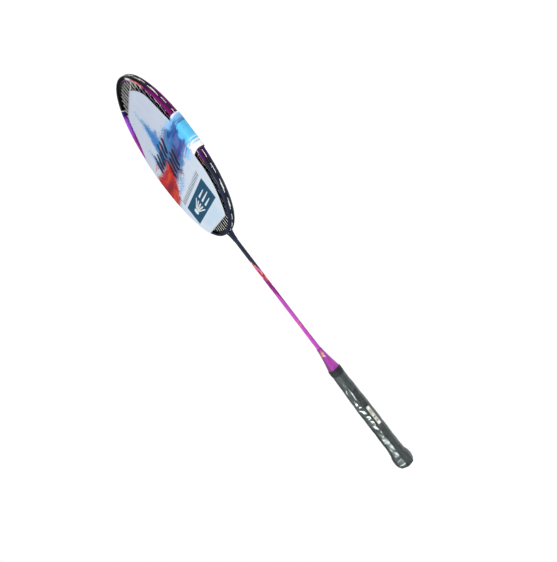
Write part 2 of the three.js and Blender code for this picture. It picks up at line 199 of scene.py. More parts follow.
def spline(points, steps):
    """A Catmull-Rom curve through points, with the same number of steps on each stretch."""
    p = np.asarray(points, float)
    p = np.vstack([2 * p[0] - p[1], p, 2 * p[-1] - p[-2]])
    t = np.linspace(0, 1, steps, endpoint=False)[:, None]
    out = []
    for a, b, c, d in zip(p, p[1:], p[2:], p[3:]):
        square = 2 * a - 5 * b + 4 * c - d
        cube = 3 * b - a - 3 * c + d
        out.append(0.5 * (2 * b + (c - a) * t + square * t**2 + cube * t**3))
    return np.vstack(out + [p[-2:-1]])


# ---------------------------------------------------------------- material helpers
class Tree:
    """A node tree, built a node at a time."""

    def __init__(self, tree):
        self.tree = tree

    def node(self, kind, inputs=None, **settings):
        """A new node. An input takes a value or another node's output."""
        made = self.tree.nodes.new(kind)
        for key, value in settings.items():
            setattr(made, key, value)
        for key, value in (inputs or {}).items():
            self.feed(made.inputs[key], value)
        return made

    def feed(self, socket, value):
        if isinstance(value, bpy.types.NodeSocket):
            self.tree.links.new(value, socket)
        else:
            socket.default_value = value


class Paint(Tree):
    """A material. Places in it are in millimetres."""

    def __init__(self, name):
        self.material = bpy.data.materials.new(name)
        self.material.use_nodes = True
        super().__init__(self.material.node_tree)
        self.shader = self.tree.nodes["Principled BSDF"]
        self.output = self.tree.nodes["Material Output"]

    def set(self, **values):
        """Shader inputs by name, with _ for a space."""
        for key, value in values.items():
            self.feed(self.shader.inputs[key.replace("_", " ")], value)
        return self

    def place(self, scale=(1, 1, 1), offset=(0, 0, 0)):
        """The point's place in mm, times scale."""
        coordinates = self.node("ShaderNodeTexCoord").outputs["Object"]
        scaled = tuple(s / MM for s in scale)
        mapping = {"Vector": coordinates, "Scale": scaled, "Location": offset}
        return self.node("ShaderNodeMapping", mapping).outputs["Vector"]

    def axes(self):
        """X, Y and Z of the place, as three sockets."""
        split = self.node("ShaderNodeSeparateXYZ", {"Vector": self.place()})
        return split.outputs["X"], split.outputs["Y"], split.outputs["Z"]

    def attribute(self, name):
        return self.node("ShaderNodeAttribute", attribute_name=name).outputs["Fac"]

    def math(self, operation, a, b=0.0, c=0.0):
        return self.node("ShaderNodeMath", {0: a, 1: b, 2: c}, operation=operation).outputs[0]

    def plus(self, *values):
        return functools.reduce(lambda a, b: self.math("ADD", a, b), values)

    def times(self, *values):
        return functools.reduce(lambda a, b: self.math("MULTIPLY", a, b), values)

    def most(self, *values):
        return functools.reduce(lambda a, b: self.math("MAXIMUM", a, b), values)

    def noise(self, vector, scale, detail=3.0, roughness=0.55):
        inputs = {"Vector": vector, "Scale": scale, "Detail": detail, "Roughness": roughness}
        return self.node("ShaderNodeTexNoise", inputs).outputs["Fac"]

    def step(self, value, low, high):
        """0 below low, 1 above high, smooth between. low may be above high."""
        inputs = {"Value": value, "From Min": low, "From Max": high}
        return self.node("ShaderNodeMapRange", inputs, interpolation_type="SMOOTHSTEP").outputs["Result"]

    def linear(self, value, low, high, to_low=0.0, to_high=1.0):
        """Runs straight from to_low at low to to_high at high, and no further."""
        inputs = {"Value": value, "From Min": low, "From Max": high, "To Min": to_low, "To Max": to_high}
        return self.node("ShaderNodeMapRange", inputs).outputs["Result"]

    def band(self, value, low, high, blur):
        """1 between low and high."""
        rise = self.step(value, low - blur, low + blur)
        fall = self.step(value, high + blur, high - blur)
        return self.times(rise, fall)

    def mix(self, share, a, b):
        """a where share is 0, b where it is 1."""
        inputs = {"Factor": share, 6: a, 7: b}
        return self.node("ShaderNodeMix", inputs, data_type="RGBA", clamp_factor=True).outputs[2]

    def layers(self, base, *layers):
        """Lays (mask, colour) pairs over a base colour, in order."""
        colour = base
        for mask, over in layers:
            colour = self.mix(mask, colour, over)
        return colour

    def vector(self, operation, a, b=(0, 0, 0), c=(0, 0, 0)):
        made = self.node("ShaderNodeVectorMath", {0: a, 1: b, 2: c}, operation=operation)
        return made.outputs["Value" if operation in ("DOT_PRODUCT", "DISTANCE", "LENGTH") else "Vector"]

    def combine(self, x=0.0, y=0.0, z=0.0):
        return self.node("ShaderNodeCombineXYZ", {"X": x, "Y": y, "Z": z}).outputs["Vector"]

    def stroke(self, spot, start, end, widths, ragged=None, soft=0.4):
        """1 inside a tapering stroke from start to end. ragged is added to its half width."""
        start, end = np.array((*start, 0.0)), np.array((*end, 0.0))
        line = end - start
        away = self.vector("SUBTRACT", spot, tuple(start))
        share = self.vector("DOT_PRODUCT", away, tuple(line / (line @ line)))
        share = self.math("MINIMUM", self.math("MAXIMUM", share, 0.0), 1.0)
        nearest = self.vector("MULTIPLY_ADD", self.combine(share, share, share), tuple(line), tuple(start))
        distance = self.vector("DISTANCE", spot, nearest)
        room = self.math("SUBTRACT", self.linear(share, 0, 1, *widths), distance)
        if ragged is not None:
            room = self.math("ADD", room, ragged)
        return self.step(room, -soft, soft)

    def strokes(self, spot, lines, ragged=None, soft=0.4):
        """Several strokes as one mask."""
        return self.most(*[self.stroke(spot, *line, ragged, soft) for line in lines])

    def bump(self, height, strength, distance):
        """distance is the height of the relief, in mm."""
        inputs = {"Height": height, "Strength": strength, "Distance": distance * MM}
        normal = self.node("ShaderNodeBump", inputs).outputs["Normal"]
        self.feed(self.shader.inputs["Normal"], normal)
        return self


def rgb(red, green, blue):
    """An sRGB colour, 0 to 255, as the linear colour that shaders take."""
    def channel(value):
        value /= 255
        return value / 12.92 if value <= 0.04045 else ((value + 0.055) / 1.055) ** 2.4

    return (channel(red), channel(green), channel(blue), 1.0)


def grained(name, scale, detail, dark, light, roughness, relief):
    """A plain moulded material: two close tones over a fine grain."""
    paint = Paint(name)
    grain = paint.noise(paint.place(), scale, detail)
    paint.set(Base_Color=paint.mix(grain, dark, light), Roughness=roughness)
    return paint.bump(grain, relief, 0.05).material


# ---------------------------------------------------------------- outline of the head
def signed_power(value, exponent):
    """A power that keeps the sign of its base."""
    return np.sign(value) * np.abs(value) ** exponent


def rim(angle):
    """Points of the head's outline and their outward directions, at angles from +X."""
    angle = np.atleast_1d(np.asarray(angle, float))
    c, s = np.cos(angle), np.sin(angle)
    n = np.where(s >= 0, TOP_POWER, BOTTOM_POWER)
    length = np.where(s >= 0, TIP_Y - WIDEST_Y, WIDEST_Y - THROAT_Y)
    u, v = signed_power(c, 2 / n), signed_power(s, 2 / n)
    points = np.stack([HALF_WIDTH * u, WIDEST_Y + length * v], 1)
    outward = np.stack([signed_power(u, n - 1) / HALF_WIDTH, signed_power(v, n - 1) / length], 1)
    return points, outward / np.linalg.norm(outward, axis=1, keepdims=True)


def tube_point(angle, radial, z=0.0):
    """radial is measured outwards from the middle of the tube."""
    points, outward = rim(angle)
    flat = points + outward * np.reshape(np.asarray(radial, float) - TUBE_HALF_RADIAL, (-1, 1))
    return np.column_stack([flat, np.full(len(flat), z)])


def sweep_rim(angles, section):
    """Sweeps a section, (radial, z) pairs, along the head's outline."""
    points, outward = rim(angles)
    section = np.asarray(section, float)
    grid = np.empty((len(angles), len(section), 3))
    radial = section[:, 0] - TUBE_HALF_RADIAL
    grid[:, :, 0] = points[:, :1] + outward[:, :1] * radial
    grid[:, :, 1] = points[:, 1:] + outward[:, 1:] * radial
    grid[:, :, 2] = section[:, 1]
    return grid


def solve_angle(quantity):
    """The angle in the first quarter at which a falling quantity passes zero."""
    low, high = 0.0, math.pi / 2
    for _ in range(40):
        middle = (low + high) / 2
        if quantity(middle) > 0:
            low = middle
        else:
            high = middle
    return low


def angle_at_y(y):
    """The angle at which the right half of the outline is at this height."""
    side = 1 if y > WIDEST_Y else -1
    return side * solve_angle(lambda a: side * (y - rim(side * a)[0][0][1]))


# ---------------------------------------------------------------- string holes
class Hole:
    """A string hole: the angle where it leaves the hoop, and the way that it points."""

    def __init__(self, kind, index, angle, tilt):
        self.kind, self.index, self.angle, self.tilt = kind, index, angle, tilt

    def settle(self, is_top, is_right):
        """A copy of the hole in its own quarter of the head."""
        angle = self.angle if is_top else -self.angle
        hole = Hole(self.kind, self.index, angle if is_right else math.pi - angle, self.tilt)
        hole.is_top, hole.is_right = is_top, is_right
        hole.z = STRING_PLANE if self.kind == "main" else -STRING_PLANE
        turn = math.radians(self.tilt) * (1 if is_right else -1)
        out = rim(hole.angle)[1][0]
        hole.direction = np.array([
            out[0] * math.cos(turn) - out[1] * math.sin(turn),
            out[0] * math.sin(turn) + out[1] * math.cos(turn),
            0.0,
        ])
        hole.reach = 1 / math.cos(turn)
        return hole

    def along(self, radial):
        """The point on the hole's line at a radial place."""
        start = tube_point(self.angle, -TUBE_HALF_RADIAL, self.z)[0]
        return start + self.direction * (radial + TUBE_HALF_RADIAL) * self.reach


def quarter_holes(is_top):
    """The holes of one quarter of the head, spread until none are closer than HOLE_SPACING."""
    side = 1 if is_top else -1
    holes = []
    for index in range(MAINS_PER_SIDE):
        is_throat = not is_top and index == 0
        x = THROAT_MAIN_X if is_throat else FIRST_MAIN_X + index * MAIN_PITCH
        angle = solve_angle(lambda a: tube_point(side * a, EXIT_RADIAL)[0][0] - x)
        holes.append(Hole("main", index, angle, THROAT_TILT if is_throat else 0.0))
    for index in range(CROSSES_PER_HALF):
        y = CROSS_CENTRE_Y + side * (index + 0.5) * CROSS_PITCH
        angle = solve_angle(lambda a: side * (y - tube_point(side * a, EXIT_RADIAL)[0][1]))
        holes.append(Hole("cross", index, angle, 0.0))
    holes.sort(key=lambda hole: hole.angle)
    for _ in range(200):
        for near, far in zip(holes, holes[1:]):
            gap = np.linalg.norm(tube_point(side * near.angle, 0)[0] - tube_point(side * far.angle, 0)[0])
            push = max(0.0, HOLE_SPACING - gap) / 2 / HALF_WIDTH
            near.angle -= push
            far.angle += 0.0 if far.tilt else push
    return holes


def all_holes():
    """Every string hole of the head, quarter by quarter."""
    holes = []
    for is_top in (True, False):
        quarter = quarter_holes(is_top)
        for is_right in (True, False):
            holes += [hole.settle(is_top, is_right) for hole in quarter]
    return holes


HOLES = all_holes()


def find_hole(kind, index, is_top, is_right):
    for hole in HOLES:
        if (hole.kind, hole.index, hole.is_top, hole.is_right) == (kind, index, is_top, is_right):
            return hole
    raise ValueError("no such hole")


# ---------------------------------------------------------------- strings
def string_rows():
    """Each string's two holes: mains from left to right, crosses from the tip down."""
    mains = []
    for place_index in range(2 * MAINS_PER_SIDE):
        is_right = place_index >= MAINS_PER_SIDE
        index = place_index - MAINS_PER_SIDE if is_right else MAINS_PER_SIDE - 1 - place_index
        mains.append((find_hole("main", index, False, is_right), find_hole("main", index, True, is_right)))
    crosses = []
    for place_index in range(2 * CROSSES_PER_HALF):
        is_top = place_index < CROSSES_PER_HALF
        index = CROSSES_PER_HALF - 1 - place_index if is_top else place_index - CROSSES_PER_HALF
        crosses.append((find_hole("cross", index, is_top, False), find_hole("cross", index, is_top, True)))
    return mains, crosses


def crossing_share(row, other):
    """How far along row, from 0 to 1, it meets the other string, or None."""
    a, b = row[0].along(EXIT_RADIAL)[:2], row[1].along(EXIT_RADIAL)[:2]
    c, d = other[0].along(EXIT_RADIAL)[:2], other[1].along(EXIT_RADIAL)[:2]
    system = np.array([b - a, c - d]).T
    share, other_share = np.linalg.solve(system, c - a)
    return share if 0.005 < share < 0.995 and 0.005 < other_share < 0.995 else None


def woven_run(row, others, row_number, sign):
    """Points of one string across the bed, over and under the strings it meets."""
    start, end = row[0].along(EXIT_RADIAL), row[1].along(EXIT_RADIAL)
    shares, heights = [0.0], [start[2]]
    for number, other in enumerate(others):
        share = crossing_share(row, other)
        if share is not None:
            shares.append(share)
            heights.append(sign * WEAVE_HEIGHT * (1 if (number + row_number) % 2 else -1))
    order = np.argsort(shares)
    shares = np.append(np.array(shares)[order], 1.0)
    heights = np.append(np.array(heights)[order], end[2])
    samples = []
    for i in range(len(shares) - 1):
        for t in np.linspace(0, 1, 6, endpoint=False):
            share = shares[i] + (shares[i + 1] - shares[i]) * t
            blend = (1 - math.cos(math.pi * t)) / 2
            point = start + (end - start) * share
            point[2] = heights[i] + (heights[i + 1] - heights[i]) * blend
            samples.append(point)
    samples.append(end)
    return samples


def groove_run(start, end):
    """The string between two holes, over the curve of the groove."""
    turn = math.atan2(math.sin(end.angle - start.angle), math.cos(end.angle - start.angle))
    steps = max(4, int(abs(turn) * HALF_WIDTH / 2.5))
    shares = np.linspace(0, 1, steps + 1)[1:-1]
    return [tube_point(start.angle + turn * share, LOOP_RADIAL, start.z)[0] for share in shares]


def rounded(corner, before, after, radius):
    """The points that round a corner between two neighbours."""
    back, ahead = before - corner, after - corner
    room = 0.45 * min(np.linalg.norm(back), np.linalg.norm(ahead))
    back, ahead = back / np.linalg.norm(back), ahead / np.linalg.norm(ahead)
    turn = math.pi - math.acos(float(np.clip(back @ ahead, -1, 1)))
    reach = min(radius * math.tan(turn / 2), room)
    if turn < 0.08 or reach < 0.05:
        return [corner]
    start, end = corner + back * reach, corner + ahead * reach
    return [(1 - t) ** 2 * start + 2 * t * (1 - t) * corner + t * t * end for t in np.linspace(0, 1, 6)]


def string_path(rows, others, sign):
    """One string through all its holes: across the bed, out, along the groove and back in."""
    points = []
    last = None
    for number, row in enumerate(rows):
        run = woven_run(row, others, number, sign)
        first, second = row
        if number % 2:
            run.reverse()
            first, second = second, first
        if last is not None:
            points += groove_run(last, first)
        points.append(first.along(LOOP_RADIAL))
        points += run
        points.append(second.along(LOOP_RADIAL))
        last = second
    corners = [points[0]]
    for before, corner, after in zip(points, points[1:], points[2:]):
        corners += rounded(corner, before, after, BEND_RADIUS)
    return corners + [points[-1]]


def make_string(name, node, path, material):
    """A round string with closed ends along a path."""
    curve = bpy.data.curves.new(name, "CURVE")
    curve.dimensions = "3D"
    curve.bevel_depth = STRING_RADIUS * MM
    curve.bevel_resolution = 2
    curve.use_fill_caps = True
    line = curve.splines.new("POLY")
    line.points.add(len(path) - 1)
    line.points.foreach_set("co", np.column_stack([np.array(path) * MM, np.ones(len(path))]).ravel())
    drawn = link(bpy.data.objects.new(name, curve))
    bpy.context.view_layer.update()
    mesh = bpy.data.meshes.new_from_object(drawn.evaluated_get(bpy.context.evaluated_depsgraph_get()))
    bpy.data.objects.remove(drawn)
    mesh.materials.clear()
    mesh.materials.append(material)
    mesh.shade_smooth()
    place(link(bpy.data.objects.new(name, mesh)), "string_nylon", node)


def string_material():
    """White nylon with a fine twist."""
    paint = Paint("string_nylon")
    x, y, z = paint.axes()
    wrap = paint.math("SINE", paint.times(paint.plus(x, y, z), 9.0))
    tone = paint.mix(paint.linear(wrap, -1, 1), rgb(238, 238, 232), rgb(255, 255, 252))
    paint.set(Base_Color=tone, Roughness=0.32, Coat_Weight=0.4, Coat_Roughness=0.15)
    return paint.bump(wrap, 0.4, 0.05).material


def make_strings():
    material = string_material()
    mains, crosses = string_rows()
    make_string("mains_woven", "main_string", string_path(mains, crosses, 1), material)
    make_string("crosses_woven", "cross_string", string_path(crosses, mains, -1), material)


# ---------------------------------------------------------------- hoop and throat
THROAT_HALF_ANGLE = math.radians(3.3)


def hoop_section(with_groove=True):
    """The tube's section as (radial, z) pairs: a rounded box with a groove outside."""
    lip_z, squareness = 2.5, 2.6
    lip_turn = math.asin((lip_z / TUBE_HALF_HEIGHT) ** (squareness / 2))
    turn = np.linspace(lip_turn, 2 * np.pi - lip_turn, 49)
    radial = TUBE_HALF_RADIAL * signed_power(np.cos(turn), 2 / squareness)
    z = TUBE_HALF_HEIGHT * signed_power(np.sin(turn), 2 / squareness)
    outside = list(zip(radial, z))
    if not with_groove:
        return outside + [(TUBE_HALF_RADIAL, zz) for zz in (-1.6, -0.8, 0.0, 0.8, 1.6)]
    half = [(2.85, 2.15), (2.2, 1.98), (1.55, 1.86), (GROOVE_FLOOR + 0.03, 1.66), (GROOVE_FLOOR, 1.3)]
    groove = [(r, -zz) for r, zz in half] + [(GROOVE_FLOOR, 0.0)] + half[::-1]
    return outside + groove


def run_along_rim(angles):
    """Distance from the throat to each angle, along the outline."""
    points = rim(angles)[0]
    steps = np.linalg.norm(np.diff(points, axis=0), axis=1)
    return np.concatenate([[0.0], np.cumsum(steps)])


def run_at(y):
    """Distance from the throat, along the outline, to the point at height y."""
    return run_along_rim(np.linspace(-math.pi / 2, angle_at_y(y), 200))[-1]


def make_hoop(material):
    """The tube. Its paint reads how far a point is along the rail, and how far out."""
    bottom = -math.pi / 2
    angles = np.linspace(bottom + THROAT_HALF_ANGLE, bottom + 2 * math.pi - THROAT_HALF_ANGLE, 480)
    section = np.array(hoop_section())
    obj = grid_object("hoop_skin", sweep_rim(angles, section), material, wrap_columns=True, caps=True)
    run = run_along_rim(angles)
    set_attribute(obj, "run", np.repeat(np.minimum(run, run[-1] - run), len(section)))
    set_attribute(obj, "radial", np.tile(section[:, 0], len(angles)))
    place(obj, "frame_lacquer", "head_frame")


def make_throat(material):
    """The hoop's bottom and the boss for the shaft, blended into one skin."""
    bottom = -math.pi / 2
    angles = np.linspace(bottom - THROAT_HALF_ANGLE, bottom + THROAT_HALF_ANGLE, 24)
    bend = sweep_rim(angles, hoop_section(False))
    bridge = grid_object("bridge", bend, material, wrap_columns=True, caps=True)
    taper = ((3.4, -15.0), (3.6, -11.5), (3.95, -7.5), (4.4, -4.0), (4.9, -1.5), (5.4, 0.6), (5.2, 3.0))
    profile = spline(taper, 5)
    profile[:, 1] += THROAT_Y
    profile = np.vstack([[0.01, profile[0, 1]], profile, [0.01, profile[-1, 1]]])
    boss = grid_object("boss", lathe_grid(profile, 48), material, wrap_columns=True, caps=True)
    both = join("throat_skin", [bridge, boss])
    add_modifier(both, "REMESH", mode="VOXEL", voxel_size=0.32 * MM)
    add_modifier(both, "SMOOTH", factor=0.6, iterations=9)
    apply_modifiers(both)
    both.data.materials.clear()
    both.data.materials.append(material)
    both.data.shade_smooth()
    place(both, "throat_lacquer", "throat_cover")


def lacquer(name, coat=0.22, coat_roughness=0.035, coat_ior=1.33):
    """Clear-coated paint with a faint ripple, ready for its colour."""
    paint = Paint(name)
    paint.set(Roughness=0.3, Specular_IOR_Level=0.08)
    paint.set(Coat_Weight=coat, Coat_Roughness=coat_roughness, Coat_IOR=coat_ior)
    ripple = paint.noise(paint.place(), 0.35, 2)
    return paint.bump(ripple, 0.25, 0.08)


def night(paint):
    """The blue-black of the tip, the throat and the top of the shaft, bluer towards the shaft."""
    height = paint.axes()[1]
    cloud = paint.noise(paint.place(), 0.06, 3)
    black = paint.mix(cloud, rgb(4, 5, 10), rgb(13, 16, 28))
    blue = paint.mix(cloud, rgb(14, 17, 30), rgb(44, 53, 78))
    return paint.mix(paint.step(height, 560, 480), black, blue)


def hoop_material():
    """Blue-black at the tip and throat, magenta between, with ragged, streaked ends."""
    paint = lacquer("hoop_lacquer")
    right = paint.step(paint.axes()[0], -5, 5)
    run, radial = paint.attribute("run"), paint.attribute("radial")
    streak = paint.noise(paint.combine(paint.times(run, 0.09), paint.times(radial, 0.85), 3.0), 1.0, 3, 0.6)
    fine = paint.noise(paint.combine(paint.times(run, 0.22), paint.times(radial, 1.6), 7.0), 1.0, 2, 0.6)
    ragged = paint.plus(run, paint.linear(streak, 0.3, 0.7, -3.5, 3.5))

    def stretch(value, low_y, high_y, blur):
        """1 along the part of the rail between two heights."""
        return paint.band(value, run_at(low_y), run_at(high_y), blur)

    def flecks(pattern, limits, heights, blur, where):
        """Broken flecks of a pattern between two heights."""
        return paint.times(paint.step(pattern, *limits), stretch(run, *heights, blur), where)

    inner = paint.step(radial, 0.4, -1.4)
    left_end = run_at(660.5)
    slant = paint.linear(radial, -2.6, 2.6, run_at(664) - left_end, run_at(619) - left_end)
    upper_end = paint.math("MULTIPLY_ADD", right, slant, left_end)
    painted = paint.times(
        paint.step(paint.math("SUBTRACT", upper_end, ragged), -0.5, 0.8),
        paint.step(ragged, run_at(497), run_at(500)),
    )
    outer, inner_side = paint.step(radial, -0.6, 1.2), paint.step(radial, 0.8, 0.0)
    blue_or_plum = paint.mix(right, rgb(38, 30, 96), rgb(120, 8, 104))
    left = paint.math("SUBTRACT", 1.0, right)
    edge = paint.times(paint.band(radial, -2.7, 1.3, 0.3), right)
    seam = paint.times(stretch(run, 660.6, 661.2, 0.2), paint.step(radial, 0.6, -0.6), left)
    low_end = stretch(ragged, 440, 519, 3)
    colour = paint.layers(
        night(paint),
        (paint.step(radial, -1.4, -2.6), rgb(5, 5, 8)),
        (painted, paint.mix(inner, rgb(110, 4, 96), rgb(158, 42, 152))),
        (paint.times(painted, outer, stretch(ragged, 606, 630, 5)), rgb(52, 6, 66)),
        (paint.times(painted, inner, stretch(run, 654, 664, 4)), blue_or_plum),
        (paint.times(painted, inner, stretch(run, 632, 652, 7)), rgb(160, 84, 218)),
        (paint.times(painted, low_end), rgb(62, 10, 84)),
        (paint.times(stretch(ragged, 499, 518, 2), inner_side), rgb(208, 60, 190)),
        (flecks(fine, (0.42, 0.5), (508, 523), 3, paint.step(radial, 1.8, 0.6)), rgb(244, 220, 238)),
        (flecks(fine, (0.42, 0.5), (642, 653), 3, edge), rgb(236, 238, 242)),
        (flecks(streak, (0.44, 0.52), (618, 641), 4, edge), rgb(206, 80, 40)),
        (flecks(fine, (0.54, 0.6), (616, 646), 3, edge), rgb(236, 204, 156)),
        (flecks(streak, (0.46, 0.52), (494, 501), 2, paint.step(radial, 1.0, -0.4)), rgb(230, 88, 48)),
        (seam, rgb(232, 232, 240)),
    )
    return paint.set(Base_Color=colour).material


def throat_material():
    paint = lacquer("throat_lacquer")
    return paint.set(Base_Color=night(paint)).material


# ---------------------------------------------------------------- grommets
def make_grommets(material):
    """Strips along the groove's floor, each with its barrels."""
    ordered = sorted(HOLES, key=lambda hole: (hole.angle + math.pi / 2) % (2 * math.pi))
    per_strip = len(ordered) // GROMMET_STRIPS
    round_off = 0.15
    half = [(BAND_TOP - round_off, BAND_HALF_WIDTH), (BAND_TOP, BAND_HALF_WIDTH - round_off)]
    section = [(BAND_BOTTOM, -BAND_HALF_WIDTH)] + [(radial, -z) for radial, z in half]
    section += half[::-1] + [(BAND_BOTTOM, BAND_HALF_WIDTH)]
    for number in range(GROMMET_STRIPS):
        holes = ordered[number * per_strip:(number + 1) * per_strip]
        turned = [(hole.angle + math.pi / 2) % (2 * math.pi) - math.pi / 2 for hole in holes]
        margin = 1.7 / HALF_WIDTH
        angles = np.linspace(turned[0] - margin, turned[-1] + margin, 90)
        parts = [grid_object("band", sweep_rim(angles, section), material, wrap_columns=True, caps=True)]
        parts += [grommet_barrel(hole, material) for hole in holes]
        strip = join(f"grommets_{number + 1}", parts)
        place(strip, "grommet_nylon", f"grommet_strip_{number + 1}")


def grommet_barrel(hole, material):
    """A tube through the frame, with a rounded mouth inside and a low collar in the groove."""
    inner_end, outer_end = -4.25, BAND_TOP + 0.12
    profile = [
        (BORE, inner_end), (1.0, inner_end - 0.05), (BARREL - 0.02, inner_end + 0.12),
        (BARREL, inner_end + 0.4), (BARREL, BAND_TOP - 0.3), (1.35, BAND_TOP),
        (1.3, outer_end), (0.9, outer_end), (BORE, outer_end - 0.1),
    ]
    grid = lathe_grid(profile, 14)
    side = np.cross(hole.direction, [0, 0, 1])
    across, along, up = grid[:, :, :1], grid[:, :, 1:2], grid[:, :, 2:]
    turned = hole.along(0.0) + across * side + along * hole.direction * hole.reach + up * [0, 0, 1]
    return grid_object("barrel", turned, material, wrap_rows=True, wrap_columns=True)


# ---------------------------------------------------------------- shaft and cone
def shaft_material():
    """Blue-black that breaks up through orange and pink flecks into magenta, with painted shade along its
    underside.
    """
    paint = lacquer("shaft_lacquer", 0.3, 0.2, 1.38)
    _, y, z = paint.axes()
    streak = paint.noise(paint.place((0.5, 0.09, 0.5)), 1.0, 3, 0.6)
    fleck = paint.noise(paint.place((0.7, 0.16, 0.7), offset=(3, 1, 5)), 1.0, 2, 0.6)
    slanted = paint.plus(y, paint.times(z, -3.6), paint.linear(streak, 0.3, 0.7, -6, 6))
    cloud = paint.noise(paint.place((0.2, 0.03, 0.2)), 1.0, 2)
    light = paint.mix(cloud, rgb(164, 46, 160), rgb(206, 92, 204))
    burst = paint.band(slanted, 337, 366, 6)
    low_marks = paint.times(paint.band(y, 236, 268, 4), paint.step(fleck, 0.56, 0.6))
    colour = paint.layers(
        light,
        # painted shade: the underside of the shaft, below z -0.6, is laid over in darker magenta
        (paint.times(paint.step(z, -0.6, -2.6), 0.7), rgb(104, 22, 96)),
        (paint.band(slanted, 312, 352, 8), rgb(132, 16, 116)),
        (paint.times(burst, paint.step(fleck, 0.44, 0.5)), rgb(226, 84, 70)),
        (paint.times(burst, paint.step(fleck, 0.54, 0.59)), rgb(240, 178, 96)),
        (paint.times(burst, paint.step(streak, 0.6, 0.64)), rgb(238, 150, 190)),
        (low_marks, rgb(232, 130, 84)),
        (paint.step(slanted, 358, 366), night(paint)),
    )
    return paint.set(Base_Color=colour).material


def make_shaft():
    """A tube, a little slimmer between the cone and the throat."""
    low, high = SHAFT_LOW[1], SHAFT_HIGH[1] - 1
    bore, full, waist = 2.3, SHAFT_RADIUS, SHAFT_RADIUS - 0.2
    outside = spline([(full, low), (full, 216), (waist, 260), (waist, 400), (full, 412)], 12)
    rows = np.vstack([[(bore, low)], outside, [(full, high), (bore, high)]])
    obj = grid_object("shaft_tube", lathe_grid(rows, 40), shaft_material(), wrap_rows=True, wrap_columns=True)
    place(obj, "shaft_lacquer", "shaft")


def cone_material():
    """Magenta with painted shade darkening it towards both edges, and two short streaks on one side."""
    paint = lacquer("cone_lacquer", 0.7, 0.26, 1.5)
    x, y, z = paint.axes()
    streak = paint.noise(paint.place((0.3, 0.06, 0.3)), 1.0, 3)
    fleck = paint.noise(paint.place(), 0.5, 3, 0.6)
    torn = paint.linear(fleck, 0.3, 0.7, -2.0, 1.0)
    flat = paint.combine(y, z)
    gold = paint.stroke(flat, (203, 2.6), (210, 1.2), (1.6, 1.0), torn, 0.4)
    pale = paint.stroke(flat, (201, 1.6), (206, 0.8), (1.3, 0.8), torn, 0.4)
    # painted shade: the magenta darkens towards both edges of the cone, where its round side turns from the
    # light
    above = paint.step(paint.plus(paint.math("ABSOLUTE", z), paint.times(y, 0.11)), 24.5, 28.0)
    colour = paint.layers(
        paint.mix(streak, rgb(140, 26, 136), rgb(196, 68, 194)),
        (paint.times(above, 0.75), rgb(84, 14, 78)),
        (paint.times(gold, paint.step(x, 0.5, 1.5)), rgb(222, 156, 70)),
        (paint.times(pale, paint.step(x, 0.5, 1.5)), rgb(224, 214, 206)),
    )
    return paint.set(Base_Color=colour).material


def make_cone():
    """A hollow cap from the grip's width down to the shaft's, its side curved inwards."""
    low, high = CONE_LOW[1], CONE_HIGH[1]
    bore = SHAFT_RADIUS + 0.3
    outside = [
        (8.7, low), (9.1, low + 0.5), (9.15, low + 1.6), (8.8, low + 3.6),
        (8.1, low + 7.0), (7.3, low + 11.0), (6.3, low + 17.0), (5.2, low + 24.0),
        (4.4, low + 30.0), (4.0, high - 1.2), (3.8, high), (bore, high),
    ]
    rows = np.vstack([[(bore, low)], spline(outside, 6)])
    obj = grid_object("cone_cap", lathe_grid(rows, 64), cone_material(), wrap_rows=True, wrap_columns=True)
    place(obj, "cone_lacquer", "handle_cone")


# ---------------------------------------------------------------- handle
WRAP_PITCH = 27.0
WRAP_EDGE_TURN = 0.35
GIRTH = 84.0
TURNS = np.linspace(0, 2 * np.pi, 144, endpoint=False)


def octagon_radius(turn, sharpness=26.0):
    """Distance to an octagon of half thickness 1 with slightly rounded corners."""
    total = sum(np.clip(np.cos(turn - k * math.pi / 4), 0, None) ** sharpness for k in range(8))
    return total ** (-1 / sharpness)


def grip_half_thickness(y):
    """Half the thickness of the wound handle at height y."""
    return np.interp(y, GRIP_PROFILE_Y, GRIP_PROFILE_Z)


def soft_grip_thickness(y):
    """The same, with its corners eased."""
    spread = np.linspace(-1.6, 1.6, 9)
    return np.mean([grip_half_thickness(y + d) for d in spread], axis=0)


def handle_grid(ys, turns, thickness):
    """A grid round the handle. thickness holds the half thickness at each row and column."""
    radius = thickness * octagon_radius(turns)[None, :]
    grid = np.empty(radius.shape + (3,))
    grid[:, :, 0] = radius * np.cos(turns) * STRETCH
    grid[:, :, 1] = np.asarray(ys)[:, None]
    grid[:, :, 2] = radius * np.sin(turns)
    return grid


def wrap_height(ys, turns):
    """The spiral tape's height over its plain sleeve: each turn laps over the last one's edge."""
    phase = (ys[:, None] / WRAP_PITCH + turns[None, :] / (2 * np.pi) + WRAP_EDGE_TURN) % 1.0
    lap = np.clip(phase / 0.03, 0, 1) * (0.55 - 0.35 * np.clip((phase - 0.03) / 0.3, 0, 1))
    belly = 0.5 * np.sin(np.pi * phase)
    return lap + belly - 1.15


def make_grip():
    """The spiral tape as a sleeve, its ends tucked in."""
    ys = np.concatenate([[2.0, 2.1, 2.5], np.arange(3.0, 177.3, 0.5), [177.5]])
    thickness = soft_grip_thickness(ys)[:, None] + wrap_height(ys, TURNS)
    thickness[0] -= 0.9
    thickness[1] -= 0.35
    thickness[-1] -= 0.4
    wall, core = 1.8, 7.45
    inner = np.repeat(np.maximum(soft_grip_thickness(ys) - wall, core)[:, None], len(TURNS), 1)
    outside, inside = handle_grid(ys, TURNS, thickness), handle_grid(ys, TURNS, inner)[::-1]
    grid = np.concatenate([outside, inside])
    obj = grid_object("grip_winding", grid, grip_material(), wrap_rows=True, wrap_columns=True)
    place(obj, "grip_pu", "grip_wrap")


